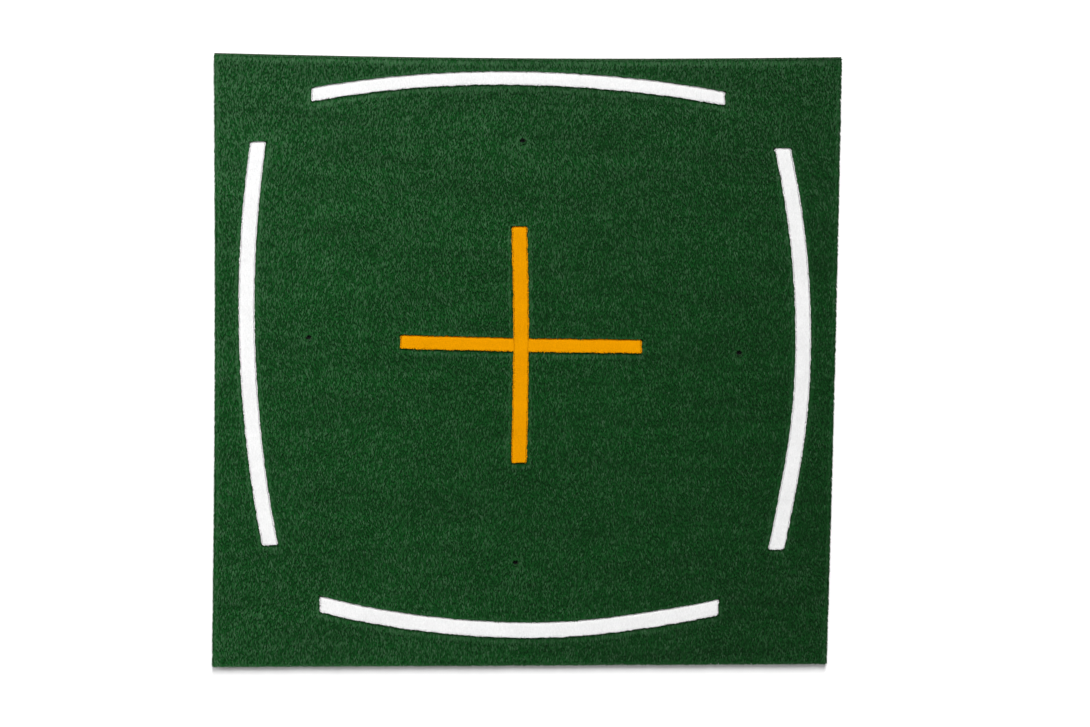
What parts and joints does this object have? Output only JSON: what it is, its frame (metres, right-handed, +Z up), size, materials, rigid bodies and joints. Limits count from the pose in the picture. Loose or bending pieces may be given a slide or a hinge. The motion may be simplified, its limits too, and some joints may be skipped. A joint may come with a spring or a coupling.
{
  "type": "golf hitting mat",
  "caption": "Square golf hitting mat of short green turf on a foam pad, with inlaid white swing arcs, a yellow aiming cross and tee holes.",
  "frame": {"origin": "centre of the underside, on the floor", "axes": "+Z up through the pile, +Y to the back edge (the top of the picture), +X to the right edge"},
  "size_m": [1.5, 1.5, 0.025],
  "materials": {
    "green_yarn": "matte",
    "white_yarn": "matte",
    "yellow_yarn": "matte",
    "coated_backing": "matte",
    "seam_tape": "matte",
    "foam": "matte"
  },
  "bodies": {
    "root": {"green_pile": "green_yarn", "green_backing": "coated_backing", "back_arc_pile": "white_yarn", "back_arc_backing": "coated_backing", "back_arc_seam_tape": "seam_tape", "front_arc_pile": "white_yarn", "front_arc_backing": "coated_backing", "front_arc_seam_tape": "seam_tape", "left_arc_pile": "white_yarn", "left_arc_backing": "coated_backing", "left_arc_seam_tape": "seam_tape", "right_arc_pile": "white_yarn", "right_arc_backing": "coated_backing", "right_arc_seam_tape": "seam_tape", "cross_bar_pile": "yellow_yarn", "cross_bar_backing": "coated_backing", "cross_bar_seam_tape": "seam_tape", "cross_left_arm_pile": "yellow_yarn", "cross_left_arm_backing": "coated_backing", "cross_left_arm_seam_tape": "seam_tape", "cross_right_arm_pile": "yellow_yarn", "cross_right_arm_backing": "coated_backing", "cross_right_arm_seam_tape": "seam_tape", "shock_pad": "foam"}
  },
  "joints": []
}
